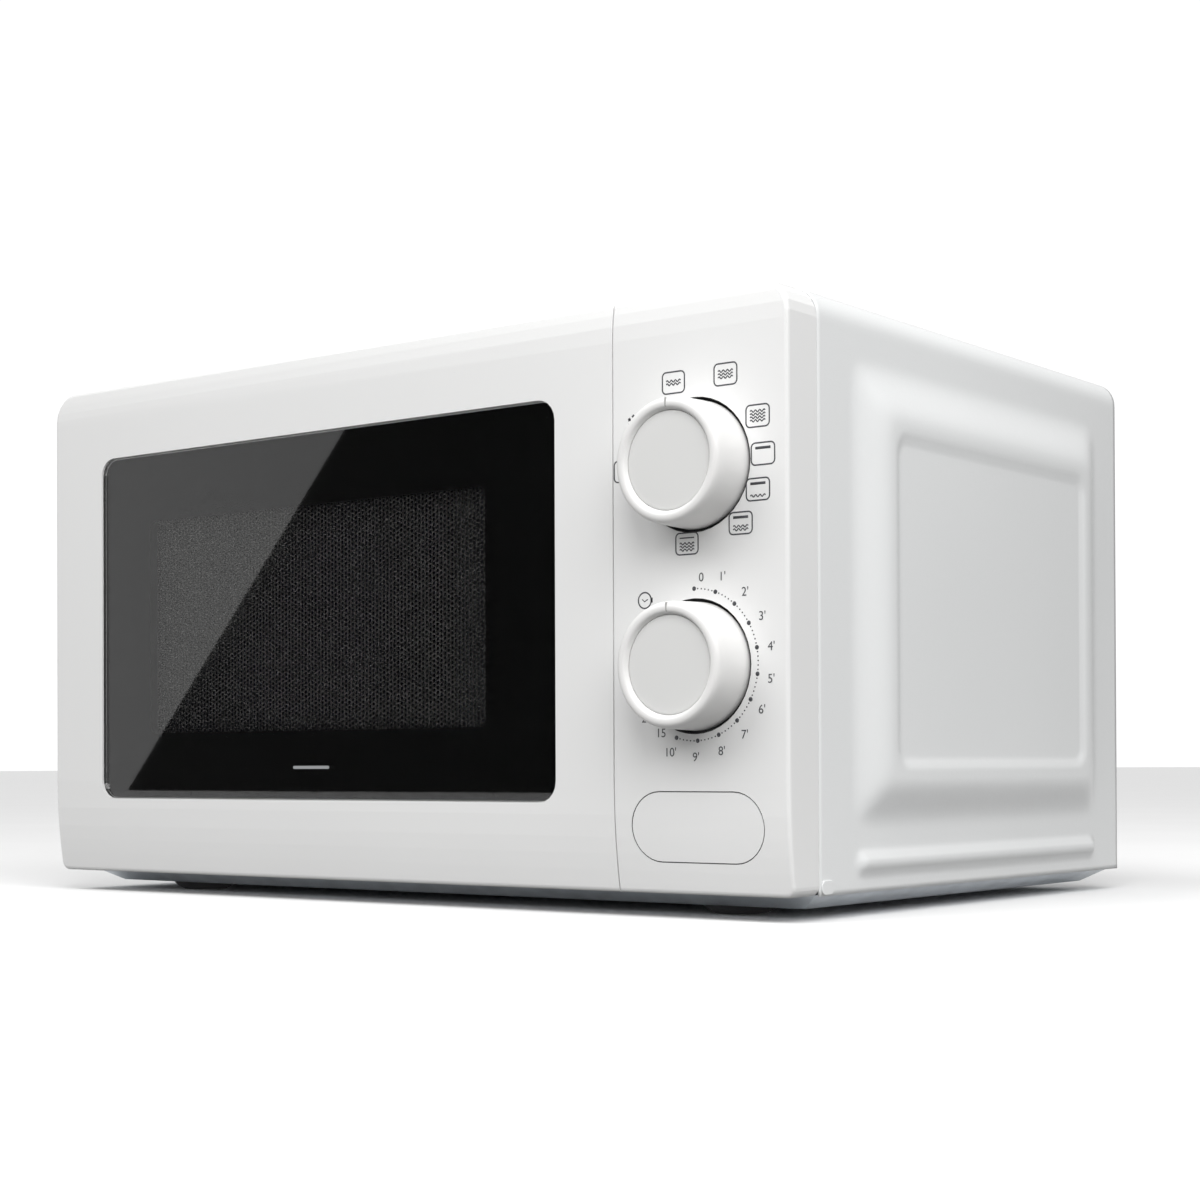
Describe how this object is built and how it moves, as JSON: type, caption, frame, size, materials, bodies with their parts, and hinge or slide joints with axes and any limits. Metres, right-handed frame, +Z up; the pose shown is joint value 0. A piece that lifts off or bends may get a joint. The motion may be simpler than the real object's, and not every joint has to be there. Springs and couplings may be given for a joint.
{
  "type": "microwave oven",
  "caption": "Countertop microwave oven with grill: side-hinged glass door with push-button release, rotary function and timer knobs, turntable on a roller ring, pressed steel casing.",
  "frame": {"origin": "bottom centre of the whole oven, at the feet's soles", "axes": "+X to the right seen from the front, +Y from the front into the oven, +Z up"},
  "size_m": [0.454, 0.3274, 0.2505],
  "materials": {
    "black_glass": "black-backed toughened glass",
    "board_green": "lacquered board",
    "cavity_enamel": "grey enamel",
    "clear_glass": "clear",
    "dark_plastic": "satin black",
    "galvanised": "zinc plated",
    "knob_plastic": "satin gloss",
    "mica": "pressed mica",
    "natural_plastic": "natural, unpigmented",
    "rubber": "matt",
    "screen_black": "black perforated sheet",
    "steel": "plain",
    "white_enamel": "white powder coat",
    "white_plastic": "glossy moulded ABS"
  },
  "bodies": {
    "cabinet": {"base_plate": "galvanised", "button_spring": "steel", "capacitor": "steel", "cavity_lamp": "natural_plastic", "cavity_shell": "cavity_enamel", "control_panel": "white_plastic", "cord_gland": "dark_plastic", "door_switch_lower": "dark_plastic", "door_switch_upper": "dark_plastic", "fan_motor": "steel", "fan_shroud": "natural_plastic", "filter_board": "board_green", "foot_front_left": "rubber", "foot_front_right": "rubber", "foot_rear_left": "rubber", "foot_rear_right": "rubber", "front_plate": "cavity_enamel", "grill_element": "steel", "heater_bracket": "steel", "high_voltage_diode": "dark_plastic", "latch_bracket": "natural_plastic", "lower_hinge": "steel", "magnetron": "steel", "mica_cover": "mica", "outer_casing": "white_enamel", "rear_panel": "white_enamel", "rear_screw_1": "steel", "rear_screw_2": "steel", "rear_screw_3": "steel", "rear_screw_4": "steel", "rear_spacer": "white_plastic", "selector_switch": "natural_plastic", "thermal_cutout": "dark_plastic", "timer_unit": "natural_plastic", "transformer": "galvanised", "turntable_motor": "steel", "upper_hinge": "steel", "waveguide": "galvanised"},
    "door": {"door_frame": "white_plastic", "door_glass": "black_glass", "door_screen": "screen_black", "door_inner_panel": "galvanised", "door_film": "clear_glass", "choke_cover": "dark_plastic", "latch_spring": "steel"},
    "latch": {"latch_hooks": "natural_plastic"},
    "selector": {"selector_knob": "knob_plastic", "selector_shaft": "steel"},
    "timer": {"timer_knob": "knob_plastic", "timer_shaft": "steel"},
    "button": {"release_button": "white_plastic"},
    "lever": {"release_lever": "natural_plastic"},
    "turntable": {"turntable_plate": "clear_glass", "drive_coupler": "natural_plastic"},
    "ring": {"roller_ring": "natural_plastic"},
    "wheel_1": {"roller_wheel_1": "natural_plastic"},
    "wheel_2": {"roller_wheel_2": "natural_plastic"},
    "wheel_3": {"roller_wheel_3": "natural_plastic"},
    "fan": {"fan_blade": "natural_plastic"}
  },
  "joints": [
    {"name": "door_hinge", "type": "hinge", "parent": "cabinet", "child": "door", "pos_m": [-0.212, -0.13125, 0.13], "axis": [0, 0, -1], "range_deg": [0, 92]},
    {"name": "latch_lift", "type": "slide", "parent": "door", "child": "latch", "axis": [0, 0, 1], "range_m": [0, 0.0042], "deforming": ["latch_spring"]},
    {"name": "selector_turn", "type": "hinge", "parent": "cabinet", "child": "selector", "pos_m": [0.1757, -0.14425, 0.181], "axis": [0, 1, 0], "range_deg": [-90, 180]},
    {"name": "timer_turn", "type": "hinge", "parent": "cabinet", "child": "timer", "pos_m": [0.1757, -0.14425, 0.101], "axis": [0, 1, 0], "range_deg": [0, 300]},
    {"name": "button_press", "type": "slide", "parent": "cabinet", "child": "button", "axis": [0, 1, 0], "range_m": [0, 0.005], "stiffness_N_per_m": 400, "springref_m": -0.004, "deforming": ["button_spring"]},
    {"name": "lever_turn", "type": "hinge", "parent": "cabinet", "child": "lever", "pos_m": [0.15, -0.11625, 0.056], "axis": [1, 0, 0], "range_deg": [0, 16]},
    {"name": "turntable_spin", "type": "hinge", "parent": "cabinet", "child": "turntable", "pos_m": [-0.051, 0.01125, 0.0466], "axis": [0, 0, 1], "continuous": true},
    {"name": "ring_spin", "type": "hinge", "parent": "cabinet", "child": "ring", "pos_m": [-0.051, 0.01125, 0.0393], "axis": [0, 0, 1], "continuous": true},
    {"name": "fan_spin", "type": "hinge", "parent": "cabinet", "child": "fan", "pos_m": [0.163, 0.12575, 0.175], "axis": [0, 1, 0], "continuous": true},
    {"name": "wheel_1_roll", "type": "hinge", "parent": "ring", "child": "wheel_1", "pos_m": [0.0405, 0.01125, 0.0393], "axis": [1, 0, 0], "continuous": true},
    {"name": "wheel_2_roll", "type": "hinge", "parent": "ring", "child": "wheel_2", "pos_m": [-0.09675, 0.09049, 0.0393], "axis": [-0.5, 0.866, 0], "continuous": true},
    {"name": "wheel_3_roll", "type": "hinge", "parent": "ring", "child": "wheel_3", "pos_m": [-0.09675, -0.06799, 0.0393], "axis": [-0.5, -0.866, 0], "continuous": true}
  ],
  "couplings": [
    {"joint": "latch_lift", "follows": "button_press", "ratio": 0.8},
    {"joint": "lever_turn", "follows": "button_press", "rad_per_m": 53.33},
    {"joint": "ring_spin", "follows": "turntable_spin", "ratio": 0.5},
    {"joint": "wheel_1_roll", "follows": "turntable_spin", "ratio": -6.5357},
    {"joint": "wheel_2_roll", "follows": "turntable_spin", "ratio": -6.5357},
    {"joint": "wheel_3_roll", "follows": "turntable_spin", "ratio": -6.5357}
  ]
}
